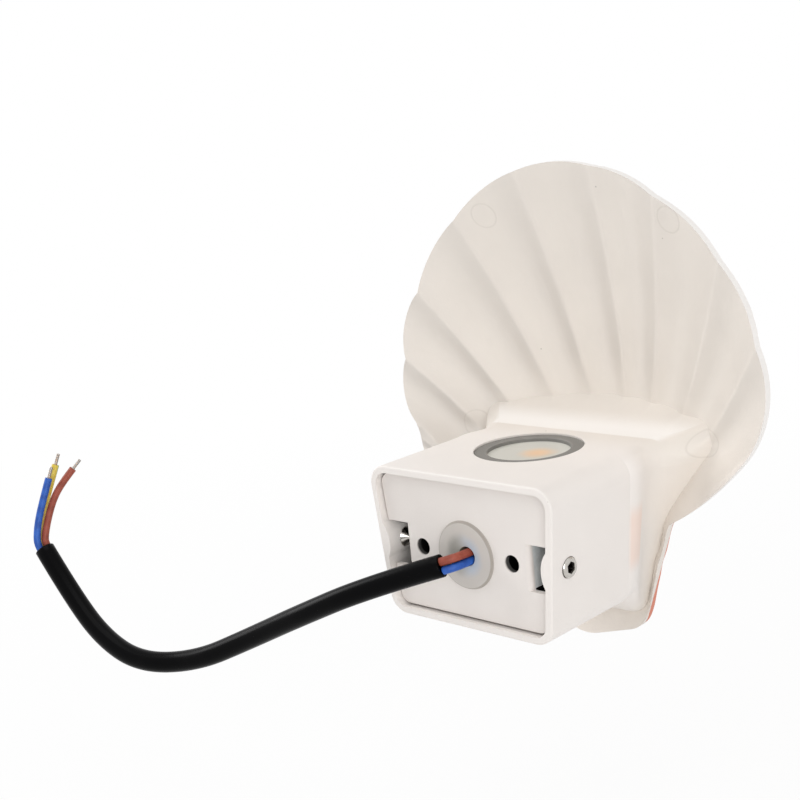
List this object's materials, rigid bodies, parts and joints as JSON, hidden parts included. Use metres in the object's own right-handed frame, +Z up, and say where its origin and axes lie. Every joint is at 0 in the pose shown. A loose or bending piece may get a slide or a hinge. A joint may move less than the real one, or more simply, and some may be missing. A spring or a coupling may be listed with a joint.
{
  "type": "outdoor wall sconce",
  "caption": "Scallop-shell LED wall light: a cast box housing with a light window on top flows into a ribbed shell, and sits on a bent wall bracket with a cable.",
  "frame": {"origin": "middle of the wall bracket's rear face, half way between its two screw holes", "axes": "+Z up as mounted, +Y into the wall, +X to the left in the picture, which looks at the light's back"},
  "size_m": [0.1871, 0.1012, 0.123],
  "materials": {
    "cast_body": "white powder coat on a die casting, the shell's front face coral",
    "lens_ring": "dark grey moulding",
    "lens": "frosted",
    "lens_gasket": "silicone",
    "reflector": "bright white",
    "led_board": "white solder mask",
    "led_emitter": "yellow phosphor",
    "thermal_pad": "soft silicone sheet",
    "heat_sink": "mill finish plate",
    "sink_screws": "zinc plated",
    "inner_cover": "plated sheet",
    "cover_gasket": "foam rubber",
    "cover_screws": "zinc plated",
    "driver_case": "potted plastic case",
    "lead_positive": "silicone wire",
    "lead_negative": "silicone wire",
    "wall_bracket": "white paint on bent sheet steel",
    "cable_grommet": "clear silicone",
    "cable_sheath": "matte black",
    "core_brown": "wire insulation",
    "core_blue": "wire insulation",
    "core_earth": "yellow wire insulation with a green stripe",
    "conductor_tips": "tinned copper strands",
    "set_screw_left": "nickel plated steel",
    "set_screw_right": "nickel plated steel"
  },
  "bodies": {
    "bracket": {"wall_bracket": "wall_bracket", "cable_grommet": "cable_grommet", "cable_sheath": "cable_sheath", "core_brown": "core_brown", "core_blue": "core_blue", "core_earth": "core_earth", "conductor_tips": "conductor_tips"},
    "lamp": {"cast_body": "cast_body", "lens_ring": "lens_ring", "lens": "lens", "lens_gasket": "lens_gasket", "reflector": "reflector", "led_board": "led_board", "led_emitter": "led_emitter", "thermal_pad": "thermal_pad", "heat_sink": "heat_sink", "sink_screws": "sink_screws", "inner_cover": "inner_cover", "cover_gasket": "cover_gasket", "cover_screws": "cover_screws", "driver_case": "driver_case", "lead_positive": "lead_positive", "lead_negative": "lead_negative"},
    "screw_left": {"set_screw_left": "set_screw_left"},
    "screw_right": {"set_screw_right": "set_screw_right"}
  },
  "joints": [
    {"name": "lamp_slide", "type": "slide", "parent": "bracket", "child": "lamp", "axis": [0, -1, 0], "range_m": [0, 0.012]},
    {"name": "screw_left_turn", "type": "hinge", "parent": "lamp", "child": "screw_left", "pos_m": [0.0247, -0.0046, -0.0002], "axis": [1, 0, 0], "continuous": true},
    {"name": "screw_right_turn", "type": "hinge", "parent": "lamp", "child": "screw_right", "pos_m": [-0.0247, -0.0046, -0.0002], "axis": [-1, 0, 0], "continuous": true}
  ]
}
